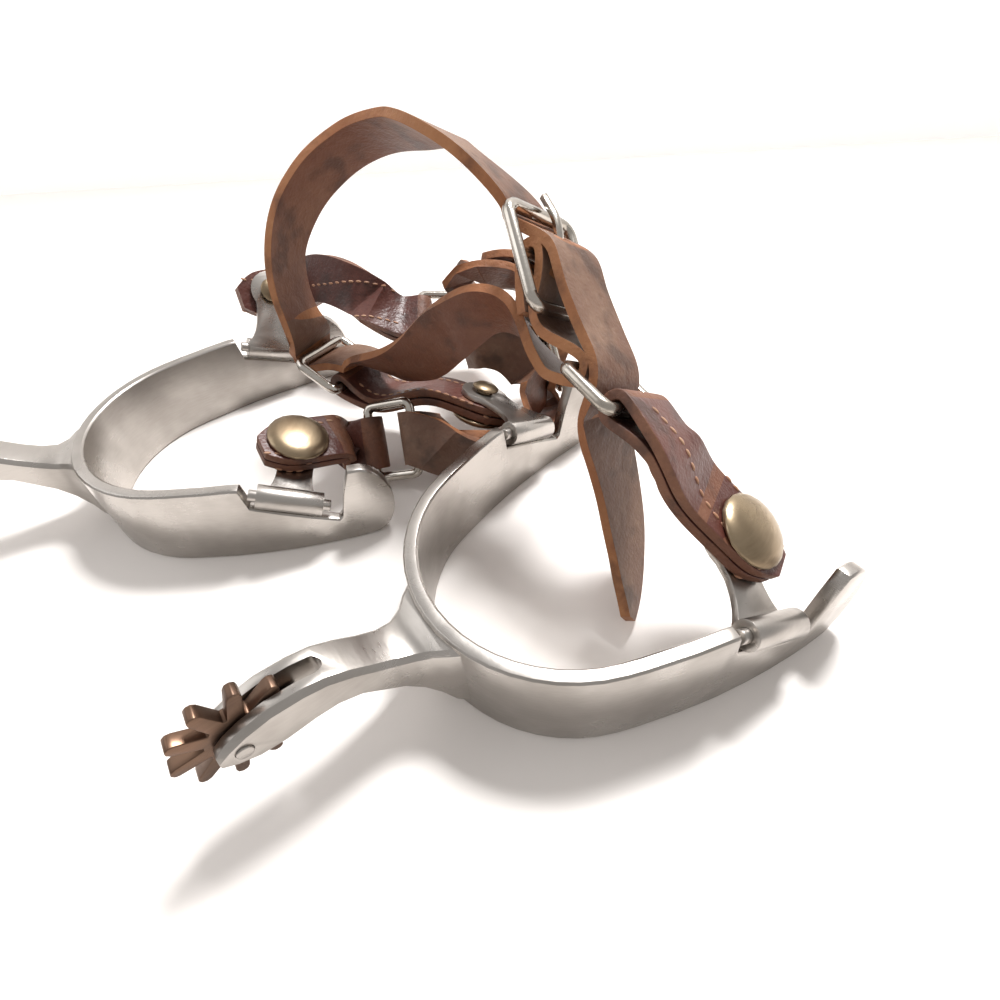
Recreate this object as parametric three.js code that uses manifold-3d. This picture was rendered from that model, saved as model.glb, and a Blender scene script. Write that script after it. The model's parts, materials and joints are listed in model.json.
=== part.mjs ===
// A pair of western riding spurs with their leather straps.
// Millimetres, +Z up. The origin is the middle of the near spur's heel, on the lower edge of its heel
// band; +X runs from the heel to the open end of the band, where the boot heel goes in.
import * as THREE from 'three';
import { mergeVertices } from 'three/addons/utils/BufferGeometryUtils.js';
import Module from 'manifold-3d';

const wasm = await Module();
wasm.setup();

// ---------------------------------------------------------------- driving dimensions
const GAP = 0.3; // between pieces that touch
const RUN = 0.08; // radial running clearance of a shaft in its hole

const BAND_H = 25.4; // height of the heel band
const BAND_T = 3.4; // its thickness
const HEEL_R = 35.4; // centreline radius of the heel curve
const HEEL_DEG = 68.9; // half angle of the heel curve
const ARM_R = 168; // radius of the gentle inward curve of each arm
const NOTCH_START = 24; // distances along an arm, from the end of the heel curve
const NOTCH_END = 46.5;
const ARM_END = 61.4;
const NOTCH_SLOPE = 0.46; // fall of the notch floor per mm of arm
const EAR_LEAN = 5.2; // how far the ear's inner edge leans back from foot to top
const BAND_CHAMFER = 0.5;

const PIN_R = 1.6; // hinge pin that bridges the notch
const PIN_RISE = 3.0; // its centre below the band's top at the notch start
const ROLL_WALL = 1.65; // sheet that is rolled round the pin
// The notch floor stays one gap below the rolled barrel, square to its slope.
const NOTCH_DROP = PIN_RISE + (PIN_R + RUN + ROLL_WALL + GAP) / Math.cos(Math.atan(NOTCH_SLOPE));
const ROLL_LEN = 17;
const HANGER_REACH = 20; // pin to button
const HANGER_NECK = 9; // width at the neck
const HANGER_EYE_R = 7; // round end under the button
const POST_R = 2.4;
const POST_CLEAR = 0.15;
const BUTTON_R = 8.6;
const BUTTON_DOME = 3.0;
const BUTTON_RIM = 0.9;
const CAP_R = 4.2;
const CAP_T = 1.8;

const STRAP_W = 16; // every strap is cut to one width
const STRAP_T = 2.4;
const PLY_GAP = 0.3; // between the two plies of a stitched strap
const HANGER_STRAP_END = 10.5; // how far a hanger strap runs on past its button

const WIRE_R = 1.5; // rings and buckle
const RING_BARS = 14.6; // spacing of the two bars that carry straps
const RING_CORNER = 2.2;
const SIDE_PLAY = 1.4;
const WRAP_PLAY = 0.6; // between a wire and the leather that is folded round it
const RING_RUN = 7; // straight length of a stitched strap before its ring // a strap's room in a ring or a buckle, each side
const BUCKLE_LEN = 25; // between the end bars of the buckle frame
const TONGUE_R = 1.1;

const SHANK_W = 10; // across the forked end
const ROWEL_T = 3;
const ROWEL_PLAY = 0.4; // each side of the rowel in its slot
const ROWEL_R = 12;
const ROWEL_HUB_R = 5.6;
const ROWEL_POINTS = 10;
const ROWEL_FINGER = 2.9; // width of a point
const ROWEL_X = -40.5;
const ROWEL_Z = 26;
const ROWEL_PIN_R = 1.6;

const FAR_SPUR = { x: -53.4, y: 115, yawDeg: -16.0 };

// ---------------------------------------------------------------- finishes
const finish = (color, roughness, metalness) => () =>
  new THREE.MeshStandardMaterial({ color, roughness, metalness });
const steel = finish(0xb9b4ad, 0.3, 1);
const brightWire = finish(0xc9c5bd, 0.25, 1);
const bronze = finish(0x6b5447, 0.45, 1);
const wornBrass = finish(0x8a7a5c, 0.4, 1);
const leather = finish(0x6d4330, 0.75, 0);
const darkLeather = finish(0x4a2a28, 0.6, 0);

// ---------------------------------------------------------------- solids
const v3 = (x, y, z) => new THREE.Vector3(x, y, z);

function mesh(name, geometry, material) {
  const m = new THREE.Mesh(geometry, material());
  m.name = name;
  return m;
}

function welded(geometry) {
  const g = geometry.clone();
  g.deleteAttribute('normal');
  g.deleteAttribute('uv');
  return facingOut(mergeVertices(g, 1e-4));
}

// Turns a closed shell's faces outwards.
function facingOut(g) {
  const p = g.attributes.position;
  const index = g.index.array;
  const [a, b, c] = [v3(0, 0, 0), v3(0, 0, 0), v3(0, 0, 0)];
  let volume = 0;
  for (let i = 0; i < index.length; i += 3) {
    [a, b, c].forEach((v, k) => v.fromBufferAttribute(p, index[i + k]));
    volume += a.dot(b.cross(c)) / 6;
  }
  if (volume < 0) g.setIndex(Array.from(index).reverse());
  return g;
}

function toSolid(geometry) {
  const g = welded(geometry);
  const vertProperties = new Float32Array(g.attributes.position.array);
  const triVerts = new Uint32Array(g.index.array);
  return new wasm.Manifold(new wasm.Mesh({ numProp: 3, vertProperties, triVerts }));
}

function fromSolid(solid) {
  const m = solid.getMesh();
  const g = new THREE.BufferGeometry();
  g.setAttribute('position', new THREE.Float32BufferAttribute(m.vertProperties, 3));
  g.setIndex(Array.from(m.triVerts));
  return g;
}

const cut = (body, ...tools) => fromSolid(tools.reduce((s, t) => s.subtract(toSolid(t)), toSolid(body)));
const join = (...bodies) => fromSolid(bodies.map(toSolid).reduce((a, b) => a.add(b)));

// A cylinder between two points.
function rod(a, b, radius, sides = 16) {
  const g = new THREE.CylinderGeometry(radius, radius, a.distanceTo(b), sides);
  const turn = new THREE.Quaternion().setFromUnitVectors(v3(0, 1, 0), b.clone().sub(a).normalize());
  g.applyQuaternion(turn);
  const mid = a.clone().add(b).multiplyScalar(0.5);
  return g.translate(mid.x, mid.y, mid.z);
}

// A bar of rectangular section through a row of frames, with chamfered corners if a chamfer is given.
// Each frame is { at, side, up, halfW, low, high }: width along side, height from low to high along up.
function loft(frames, chamfer = 0) {
  const n = frames.length - 1;
  const sides = chamfer > 0 ? 8 : 4;
  const g = new THREE.CylinderGeometry(1, 1, 1, sides, n);
  const p = g.attributes.position;
  for (let i = 0; i < p.count; i += 1) {
    const f = frames[Math.round((p.getY(i) + 0.5) * n)];
    const halfH = (f.high - f.low) / 2;
    const centre = f.at.clone().addScaledVector(f.up, (f.high + f.low) / 2);
    if (Math.hypot(p.getX(i), p.getZ(i)) > 0.5) {
      const step = Math.round((Math.atan2(p.getX(i), p.getZ(i)) * sides) / (2 * Math.PI));
      const k = ((((step * 8) / sides) % 8) + 8) % 8;
      const sx = k < 4 ? 1 : -1;
      const sy = k > 1 && k < 6 ? -1 : 1;
      const alongTop = k === 0 || k === 7 || k === 3 || k === 4;
      const c = Math.min(chamfer, halfH * 0.6);
      centre.addScaledVector(f.side, sx * (f.halfW - (alongTop ? c : 0)));
      centre.addScaledVector(f.up, sy * (halfH - (alongTop ? 0 : c)));
    }
    p.setXYZ(i, centre.x, centre.y, centre.z);
  }
  return welded(g);
}

// ---------------------------------------------------------------- leather
// A station of a strap's route is { at, across }: a point of its centre line and its width direction.
const station = ([x, y, z, ax, ay, az]) => ({ at: v3(x, y, z), across: v3(ax, ay, az).normalize() });

// Stations round a bar: from one angle to another about the bar, measured from e1 towards e2.
function roundBar(centre, bar, e1, e2, radius, fromDeg, toDeg, count) {
  return Array.from({ length: count }, (_, i) => {
    const a = THREE.MathUtils.degToRad(fromDeg + ((toDeg - fromDeg) * i) / (count - 1));
    const at = centre.clone().addScaledVector(e1, radius * Math.cos(a)).addScaledVector(e2, radius * Math.sin(a));
    return { at, across: bar.clone() };
  });
}

// Fills a route in smoothly, with a section every `step` millimetres.
function smoothRoute(stations, step) {
  const curve = new THREE.CatmullRomCurve3(stations.map((s) => s.at), false, 'centripetal');
  const last = stations.length - 1;
  const widths = [stations[0].across.clone()];
  for (let i = 1; i <= last; i += 1) {
    const w = stations[i].across.clone();
    widths.push(w.dot(widths[i - 1]) < 0 ? w.negate() : w);
  }
  const out = [];
  for (let i = 0; i < last; i += 1) {
    const parts = Math.max(1, Math.round(stations[i].at.distanceTo(stations[i + 1].at) / step));
    for (let k = 0; k < parts + (i === last - 1 ? 1 : 0); k += 1) {
      const f = k / parts;
      const t = (i + f) / last;
      const across = widths[i].clone().lerp(widths[i + 1], f);
      const along = curve.getTangent(t);
      across.addScaledVector(along, -across.dot(along)).normalize();
      out.push({ at: curve.getPoint(t), across, along });
    }
  }
  return out;
}

// A strap along a route. `pointed` is the length of the taper at its last end.
function strap(stations, width, thickness, { step = 5, pointed = 0, roundStart = 0, roundEnd = 0 } = {}) {
  const route = smoothRoute(stations, step);
  const run = [0];
  for (let i = 1; i < route.length; i += 1) run.push(run[i - 1] + route[i].at.distanceTo(route[i - 1].at));
  const total = run[run.length - 1];
  const frames = route.map((r, i) => {
    const toEnd = total - run[i];
    let halfW = width / 2;
    if (pointed && toEnd < pointed) halfW *= 0.3 + 0.7 * Math.sqrt(toEnd / pointed);
    if (roundEnd && toEnd < roundEnd) halfW *= 0.45 + 0.55 * Math.sqrt(1 - (1 - toEnd / roundEnd) ** 2);
    if (roundStart && run[i] < roundStart) {
      halfW *= 0.45 + 0.55 * Math.sqrt(1 - (1 - run[i] / roundStart) ** 2);
    }
    const up = r.along.clone().cross(r.across).normalize();
    return { at: r.at, side: r.across, up, halfW, low: -thickness / 2, high: thickness / 2 };
  });
  return loft(frames);
}

// ---------------------------------------------------------------- wire loops
// A closed wire through the corners of a rounded rectangle, lying in the plane of u and v.
function wireLoop(centre, u, v, halfU, halfV, corner, radius, sides = 8) {
  const outline = [];
  const steps = 4;
  [[1, 1], [-1, 1], [-1, -1], [1, -1]].forEach(([su, sv], q) => {
    for (let k = 0; k <= steps; k += 1) {
      const a = ((q + k / steps) * Math.PI) / 2;
      const cu = su * (halfU - corner) + corner * Math.cos(a);
      const cv = sv * (halfV - corner) + corner * Math.sin(a);
      outline.push({ cu, cv, nu: Math.cos(a), nv: Math.sin(a) });
    }
  });
  const normal = u.clone().cross(v);
  const g = new THREE.TorusGeometry(10, 1, sides, outline.length);
  const p = g.attributes.position;
  for (let i = 0; i < p.count; i += 1) {
    const around = Math.atan2(p.getY(i), p.getX(i)) / (2 * Math.PI);
    const n = outline.length;
    const o = outline[((Math.round(around * n) % n) + n) % n];
    const outward = Math.hypot(p.getX(i), p.getY(i)) - 10;
    const q = centre.clone()
      .addScaledVector(u, o.cu + o.nu * outward * radius)
      .addScaledVector(v, o.cv + o.nv * outward * radius)
      .addScaledVector(normal, p.getZ(i) * radius);
    p.setXYZ(i, q.x, q.y, q.z);
  }
  return welded(g);
}

// ---------------------------------------------------------------- heel band
const HEEL_ANGLE = THREE.MathUtils.degToRad(HEEL_DEG);
const ARM_CENTRE_X = HEEL_R - (HEEL_R - ARM_R) * Math.cos(HEEL_ANGLE);
const ARM_CENTRE_Y = (HEEL_R - ARM_R) * Math.sin(HEEL_ANGLE);
const HEEL_HALF = HEEL_R * HEEL_ANGLE;

// The band's centre line, at a signed distance from the middle of the heel; + is the +Y arm.
function bandFrame(distance) {
  const side = distance < 0 ? -1 : 1;
  const d = Math.abs(distance);
  const onHeel = d <= HEEL_HALF;
  const a = onHeel ? d / HEEL_R : HEEL_ANGLE + (d - HEEL_HALF) / ARM_R;
  const radius = onHeel ? HEEL_R : ARM_R;
  const cx = onHeel ? HEEL_R : ARM_CENTRE_X;
  const cy = onHeel ? 0 : ARM_CENTRE_Y;
  return {
    at: v3(cx - radius * Math.cos(a), side * (cy + radius * Math.sin(a)), 0),
    outward: v3(-Math.cos(a), side * Math.sin(a), 0),
  };
}
const armPoint = (side, s, z) => bandFrame(side * (HEEL_HALF + s)).at.setZ(z);

const notchFloor = (s) => BAND_H - NOTCH_DROP - NOTCH_SLOPE * (s - NOTCH_START);
const pinHeight = (s) => BAND_H - PIN_RISE - NOTCH_SLOPE * (s - NOTCH_START);

// Lower and upper edge of an arm, from the heel curve to the rounded end of the ear.
function armProfile() {
  const rows = [[4, 0, BAND_H], [14, 0, BAND_H], [NOTCH_START - 3, 0, BAND_H], [NOTCH_START - 0.6, 0, BAND_H - 0.3]];
  rows.push([NOTCH_START, 0, notchFloor(NOTCH_START)]);
  for (let k = 1; k <= 3; k += 1) {
    const s = NOTCH_START + ((NOTCH_END - 1.2 - NOTCH_START) * k) / 3;
    rows.push([s, 0, notchFloor(s)]);
  }
  const earTop = BAND_H * 0.985;
  rows.push([NOTCH_END, 0, notchFloor(NOTCH_END) + 1.6]);
  rows.push([NOTCH_END + EAR_LEAN * 0.5, 0, earTop * 0.74]);
  rows.push([NOTCH_END + EAR_LEAN, 0.2, earTop]);
  const roundFrom = NOTCH_END + EAR_LEAN + 1.4;
  for (let k = 1; k <= 7; k += 1) {
    const a = (k / 7) * (Math.PI / 2) * 0.96;
    const halfH = (earTop / 2) * Math.cos(a);
    rows.push([roundFrom + (ARM_END - roundFrom) * Math.sin(a), earTop / 2 - halfH, earTop / 2 + halfH]);
  }
  return rows;
}

function heelBand() {
  const arm = armProfile().map(([s, low, high]) => [HEEL_HALF + s, low, high]);
  const heel = [];
  const heelSteps = 20;
  for (let k = 0; k <= heelSteps; k += 1) heel.push([HEEL_HALF * ((2 * k) / heelSteps - 1), 0, BAND_H]);
  const rows = [...arm.map(([d, l, h]) => [-d, l, h]).reverse(), ...heel, ...arm];
  const up = v3(0, 0, 1);
  return loft(rows.map(([d, low, high]) => {
    const f = bandFrame(d);
    return { at: f.at, side: f.outward, up, halfW: BAND_T / 2, low, high };
  }), BAND_CHAMFER);
}

// ---------------------------------------------------------------- shank and rowel
// Rows are [x, low, high, width]: the shank leaves the heel full height, sweeps up and ends in a fork.
const SHANK_ROWS = [
  [1, 1.8, 24.6, 25], [-2.4, 3.4, 24, 18.5], [-4.5, 6, 23.2, 14.6], [-7.5, 9.6, 23, 11.6], [-11, 13.4, 24.2, 10.3],
  [-15, 16.6, 26.4, SHANK_W], [-19, 20, 29, SHANK_W], [-23.5, 21.6, 31.2, SHANK_W], [-28, 21.6, 32, SHANK_W],
  [-34, 20.8, 32, SHANK_W], [-39, 21, 30.8, SHANK_W], [-42.5, 22.4, 29.2, SHANK_W], [-44.8, 24.4, 27.4, SHANK_W],
];
const SLOT_START_X = -24.5;
const SLOT_W = ROWEL_T + 2 * ROWEL_PLAY;

function shank() {
  const body = loft(SHANK_ROWS.map(([x, low, high, width]) => (
    { at: v3(x, 0, 0), side: v3(0, 1, 0), up: v3(0, 0, 1), halfW: width / 2, low, high })), 1.2);
  const heelFace = new THREE.CylinderGeometry(HEEL_R + BAND_T / 2 + GAP, HEEL_R + BAND_T / 2 + GAP, 80, 96);
  heelFace.rotateX(Math.PI / 2).translate(HEEL_R, 0, 0);
  const slot = new THREE.BoxGeometry(40, SLOT_W, 40).translate(SLOT_START_X - 20, 0, ROWEL_Z);
  const slotEnd = new THREE.CylinderGeometry(SLOT_W / 2, SLOT_W / 2, 40, 16);
  slotEnd.rotateX(Math.PI / 2).translate(SLOT_START_X, 0, ROWEL_Z);
  const hole = rod(v3(ROWEL_X, -20, ROWEL_Z), v3(ROWEL_X, 20, ROWEL_Z), ROWEL_PIN_R + RUN, 24);
  return cut(body, heelFace, slot, slotEnd, hole);
}

function rowel() {
  const outline = new THREE.Shape();
  const half = ROWEL_FINGER / 2;
  const tipR = half * 0.86;
  for (let i = 0; i < ROWEL_POINTS; i += 1) {
    const a = (i / ROWEL_POINTS) * 2 * Math.PI;
    const place = (r, w) => v3(r * Math.cos(a) - w * Math.sin(a), r * Math.sin(a) + w * Math.cos(a), 0);
    const pts = [place(ROWEL_HUB_R, -half)];
    for (let k = 0; k <= 4; k += 1) {
      const b = -Math.PI / 2 + (k / 4) * Math.PI;
      pts.push(place(ROWEL_R - tipR + tipR * Math.cos(b), tipR * Math.sin(b)));
    }
    pts.push(place(ROWEL_HUB_R, half));
    pts.forEach((p, k) => (i === 0 && k === 0 ? outline.moveTo(p.x, p.y) : outline.lineTo(p.x, p.y)));
  }
  const bore = new THREE.Path().absarc(0, 0, ROWEL_PIN_R + RUN, 0, 2 * Math.PI, true);
  outline.holes.push(bore);
  const g = new THREE.ExtrudeGeometry(outline, { depth: ROWEL_T, bevelEnabled: false, curveSegments: 20 });
  g.translate(0, 0, -ROWEL_T / 2).rotateX(Math.PI / 2);
  return welded(g);
}

// ---------------------------------------------------------------- hanger
// A hanger's own frame: X along the pin, Y from the pin to the button, Z to the button's domed side.
const ROLL_R = PIN_R + RUN + ROLL_WALL;
const PLATE_Z = -(ROLL_R - ROLL_WALL / 2);
const PLATE_TOP = PLATE_Z + ROLL_WALL / 2;
const STACK_T = 2 * STRAP_T + PLY_GAP;
const STRAP_MID_Z = PLATE_TOP + GAP + STACK_T / 2;

function hanger() {
  const half = ROLL_LEN / 2;
  const tube = rod(v3(-half, 0, 0), v3(half, 0, 0), ROLL_R, 20);
  const bore = rod(v3(-half - 1, 0, 0), v3(half + 1, 0, 0), PIN_R + RUN);
  const outline = new THREE.Shape();
  outline.moveTo(-half, -0.4);
  outline.lineTo(-half, 1.5);
  outline.quadraticCurveTo(-HANGER_NECK / 2, 5, -HANGER_NECK / 2, HANGER_REACH - HANGER_EYE_R - 1);
  outline.absarc(0, HANGER_REACH, HANGER_EYE_R, Math.PI * 1.22, -Math.PI * 0.22, true);
  outline.quadraticCurveTo(HANGER_NECK / 2, 5, half, 1.5);
  outline.lineTo(half, -0.4);
  outline.closePath();
  const plate = new THREE.ExtrudeGeometry(outline, { depth: ROLL_WALL, bevelEnabled: false, curveSegments: 8 });
  plate.translate(0, 0, PLATE_Z - ROLL_WALL / 2);
  const postHole = rod(v3(0, HANGER_REACH, -20), v3(0, HANGER_REACH, 20), POST_R + POST_CLEAR);
  return cut(join(tube, plate), bore, postHole);
}

function button() {
  const seat = STRAP_MID_Z + STACK_T / 2 + GAP;
  const foot = PLATE_Z - ROLL_WALL / 2 - 0.5;
  const profile = [new THREE.Vector2(0, foot), new THREE.Vector2(POST_R, foot), new THREE.Vector2(POST_R, seat)];
  profile.push(new THREE.Vector2(BUTTON_R, seat), new THREE.Vector2(BUTTON_R, seat + BUTTON_RIM));
  for (let k = 1; k <= 4; k += 1) {
    const a = (k / 4) * (Math.PI / 2);
    const r = k === 4 ? 0 : BUTTON_R * 0.96 * Math.cos(a);
    profile.push(new THREE.Vector2(r, seat + BUTTON_RIM + (BUTTON_DOME - BUTTON_RIM) * Math.sin(a)));
  }
  return welded(new THREE.LatheGeometry(profile, 20).rotateX(Math.PI / 2).translate(0, HANGER_REACH, 0));
}

function buttonCap() {
  const top = PLATE_Z - ROLL_WALL / 2 - 0.5 - GAP;
  const profile = [[0, top], [CAP_R * 0.9, top], [CAP_R, top - CAP_T * 0.4], [CAP_R * 0.7, top - CAP_T * 0.85], [0, top - CAP_T]];
  const points = profile.map(([r, y]) => new THREE.Vector2(r, y)).reverse();
  return welded(new THREE.LatheGeometry(points, 14).rotateX(Math.PI / 2).translate(0, HANGER_REACH, 0));
}

// The frame of a hanger on one arm of the band, leaning inwards by a given angle from upright.
function hangerFrame(side, leanDeg) {
  const from = NOTCH_START + 0.8;
  const a = armPoint(side, from, pinHeight(from));
  const b = armPoint(side, NOTCH_END - 2.4, pinHeight(NOTCH_END - 2.4));
  const x = b.clone().sub(a).normalize().multiplyScalar(-side);
  const upright = v3(0, 0, 1).addScaledVector(x, -x.z).normalize();
  const outward = x.clone().cross(upright);
  const lean = THREE.MathUtils.degToRad(leanDeg);
  const y = upright.multiplyScalar(Math.cos(lean)).addScaledVector(outward, -Math.sin(lean));
  return { pin: [a, b], at: a.clone().add(b).multiplyScalar(0.5), x, y, z: x.clone().cross(y) };
}

function framed(group, f) {
  group.position.copy(f.at);
  group.quaternion.setFromRotationMatrix(new THREE.Matrix4().makeBasis(f.x, f.y, f.z));
  return group;
}

// ---------------------------------------------------------------- rings and stitched straps
// A ring is { at, bar, toTab }: bar is the direction of its two strap bars, toTab points from the
// strap's bar to the bar that the stitched strap is folded round.
function ringFrame([x, y, z], [bx, by, bz], [tx, ty, tz]) {
  const bar = v3(bx, by, bz).normalize();
  const toTab = v3(tx, ty, tz);
  toTab.addScaledVector(bar, -toTab.dot(bar)).normalize();
  return { at: v3(x, y, z), bar, toTab, normal: bar.clone().cross(toTab) };
}
const tabBar = (r) => r.at.clone().addScaledVector(r.toTab, RING_BARS / 2);
const strapBar = (r) => r.at.clone().addScaledVector(r.toTab, -RING_BARS / 2);
const ringWire = (r) => wireLoop(
  r.at, r.bar, r.toTab, STRAP_W / 2 + SIDE_PLAY + WIRE_R, RING_BARS / 2, RING_CORNER, WIRE_R);

// Stations of a strip that leaves `from` and reaches `to`, both { at, along, across }, bending gently.
function freeSpan(from, to, count) {
  const pull = from.at.distanceTo(to.at) * 0.38;
  const bend = new THREE.CubicBezierCurve3(
    from.at,
    from.at.clone().addScaledVector(from.along, pull),
    to.at.clone().addScaledVector(to.along, -pull),
    to.at,
  );
  const same = from.across.dot(to.across) < 0 ? -1 : 1;
  return Array.from({ length: count }, (_, i) => {
    const t = (i + 1) / (count + 1);
    const across = from.across.clone().lerp(to.across.clone().multiplyScalar(same), t);
    return { at: bend.getPoint(t), across: across.normalize() };
  });
}

// A strip folded in half round the ring's tab bar, its two plies stitched together down to the button,
// where it is turned on the post to point at the ring.
function stitchedStrap(frame, ring, via) {
  const toPart = new THREE.Matrix4().makeBasis(frame.x, frame.y, frame.z).setPosition(frame.at);
  const onPlate = (x, y, z) => v3(x, y, z).applyMatrix4(toPart);
  const barAt = tabBar(ring);
  const mid = onPlate(0, HANGER_REACH, STRAP_MID_Z);
  const arrival = { at: barAt.clone().addScaledVector(ring.toTab, RING_RUN), along: ring.toTab.clone().negate(), across: ring.bar.clone() };
  const aim = via ? station(via[0]).at : arrival.at;
  const along = aim.clone().sub(mid).projectOnPlane(frame.z).normalize();
  const across = along.clone().cross(frame.z).normalize();
  const start = [-HANGER_STRAP_END, -HANGER_STRAP_END / 2, 0, BUTTON_R * 0.6, BUTTON_R + 2.5].map((d) => (
    { at: mid.clone().addScaledVector(along, d), across: across.clone() }));
  const wrapR = WIRE_R + WRAP_PLAY + STRAP_T / 2;
  const leaving = { at: start[start.length - 1].at, along, across };
  const ends = [RING_RUN, 0].map((d) => ({ at: barAt.clone().addScaledVector(ring.toTab, d), across: ring.bar.clone() }));
  const main = smoothRoute([...start, ...(via ? via.map(station) : freeSpan(leaving, arrival, 5)), ...ends], 5);
  const plyOffset = (STRAP_T + PLY_GAP) / 2;
  const run = [0];
  for (let i = 1; i < main.length; i += 1) run.push(run[i - 1] + main[i].at.distanceTo(main[i - 1].at));
  const total = run[run.length - 1];
  const opened = 9; // length over which the plies part to pass round the bar
  const ply = (sign) => main.slice(0, -1).map((m, i) => {
    const f = THREE.MathUtils.smoothstep(total - run[i], 0, opened);
    const off = wrapR + (plyOffset - wrapR) * f;
    const up = m.along.clone().cross(m.across).normalize();
    return { at: m.at.clone().addScaledVector(up, sign * off), across: m.across };
  });
  const end = main[main.length - 1];
  const up = end.along.clone().cross(end.across).normalize();
  const wrap = roundBar(barAt, end.across, up, end.along, wrapR, 0, 180, 7);
  const folded = strap([...ply(1), ...wrap, ...ply(-1).reverse()], STRAP_W, STRAP_T, { step: 6, roundStart: 8, roundEnd: 8 });
  const hole = rod(onPlate(0, HANGER_REACH, -20), onPlate(0, HANGER_REACH, 20), POST_R + POST_CLEAR, 16);
  return cut(folded, hole);
}

// ---------------------------------------------------------------- buckle
function buckleFrameOf([x, y, z], [ax, ay, az], [bx, by, bz]) {
  const down = v3(ax, ay, az).normalize(); // along the rails, from the tongue's bar to the foot
  const across = v3(bx, by, bz);
  across.addScaledVector(down, -across.dot(down)).normalize();
  return { at: v3(x, y, z), down, across, front: down.clone().cross(across) };
}

function buckleFrame(b) {
  const halfW = STRAP_W / 2 + SIDE_PLAY + WIRE_R;
  const outer = wireLoop(b.at, b.down, b.across, BUCKLE_LEN / 2, halfW, RING_CORNER + 0.6, WIRE_R);
  const bar = rod(b.at.clone().addScaledVector(b.across, -halfW), b.at.clone().addScaledVector(b.across, halfW), WIRE_R, 10);
  return join(outer, bar);
}

function buckleTongue(b) {
  const curl = WIRE_R + 2 * RUN + TONGUE_R;
  const reach = BUCKLE_LEN / 2;
  const local = (d, f) => b.at.clone().addScaledVector(b.down, d).addScaledVector(b.front, f);
  const loop = [];
  for (let k = 0; k < 8; k += 1) {
    const a = THREE.MathUtils.degToRad(150 - k * 40);
    loop.push(local(curl * Math.cos(a), curl * Math.sin(a)));
  }
  const lift = WIRE_R + GAP + TONGUE_R;
  const points = [...loop.reverse(), local(-curl - 1.2, curl + 0.6), local(-reach * 0.7, lift + 1.2), local(-reach - 1, lift + 0.2), local(-reach - 3, lift - 0.3)];
  const path = new THREE.CatmullRomCurve3(points, false, 'centripetal');
  const section = new THREE.Shape().absarc(0, 0, TONGUE_R, 0, 2 * Math.PI, false);
  return welded(new THREE.ExtrudeGeometry(section, { steps: 22, extrudePath: path, curveSegments: 3 }));
}

// ---------------------------------------------------------------- main strap
const WRAP_R = WIRE_R + WRAP_PLAY + STRAP_T / 2; // centre line of a ply that turns round a wire
const OVER_PLY = WRAP_R + STRAP_T + GAP; // centre line of a strap that lies on such a ply
const SLOT_HALF = TONGUE_R + GAP; // half width of the slots that the tongue passes through

// One long strap: folded round the buckle's centre bar, down round the strap bar of `first`, under the
// boot, under the strap bar of `second`, over the instep and back through the buckle to its free tip.
function mainStrap({ buckle, first, second, chape, under, over, tail, throughRing, secondWrapped }) {
  const b = buckle;
  const local = (d, f) => b.at.clone().addScaledVector(b.down, d).addScaledVector(b.front, f);
  const onBuckle = (d, f) => ({ at: local(d, f), across: b.across.clone() });
  const foot = BUCKLE_LEN / 2;
  const fold = roundBar(b.at, b.across, b.down, b.front, WRAP_R, 270, 90, 5);
  const onRing = (r, toTab, up) => ({
    at: r.at.clone().addScaledVector(r.toTab, toTab).addScaledVector(r.normal, -up), across: r.bar.clone() });
  const half = RING_BARS / 2;
  const tucked = [onRing(first, -half - 1.5, OVER_PLY + 0.3), onRing(first, -3.2, 4.2), onRing(first, 0.2, 0), onRing(first, 0.6, -5)];
  const route = [
    onBuckle(foot * 0.85, -OVER_PLY),
    onBuckle(foot * 0.45, -OVER_PLY + 0.9),
    ...fold,
    onBuckle(foot * 0.42, WRAP_R * 0.35),
    onBuckle(foot - 1, -WRAP_R),
    onBuckle(foot + 3, -WRAP_R),
    ...chape.map(station),
    ...roundBar(strapBar(first), first.bar, first.toTab, first.normal, WRAP_R, -90, 90, 5),
    ...under.map(station),
    ...(secondWrapped
      ? roundBar(strapBar(second), second.bar, second.toTab, second.normal, WRAP_R, 90, -90, 5)
      : [onRing(second, half, OVER_PLY + 1.5), onRing(second, 0.5, 3.8),
        ...roundBar(strapBar(second), second.bar, second.toTab, second.normal, WRAP_R + 0.1, 65, 175, 4)]),
    ...over.map(station),
    onBuckle(-foot - 4, -WRAP_R - 0.3),
    onBuckle(-foot + 0.6, -WRAP_R - 0.1),
    onBuckle(-foot * 0.42, 1.8),
    onBuckle(0, OVER_PLY),
    onBuckle(foot * 0.7, OVER_PLY),
    ...(throughRing ? tucked : []),
    ...tail.map(station),
  ];
  const body = strap(route, STRAP_W, STRAP_T, { step: 5, pointed: 24 });
  const toPart = new THREE.Matrix4().makeBasis(b.down, b.across, b.front).setPosition(b.at);
  const slot = (fromD, toD, fromF, toF) => new THREE.BoxGeometry(toD - fromD, 2 * SLOT_HALF, toF - fromF)
    .translate((fromD + toD) / 2, 0, (fromF + toF) / 2).applyMatrix4(toPart);
  return cut(body, slot(-6, 5, -6, OVER_PLY - STRAP_T / 2 - 0.1), slot(-11, -1.5, -6, 9));
}

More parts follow.
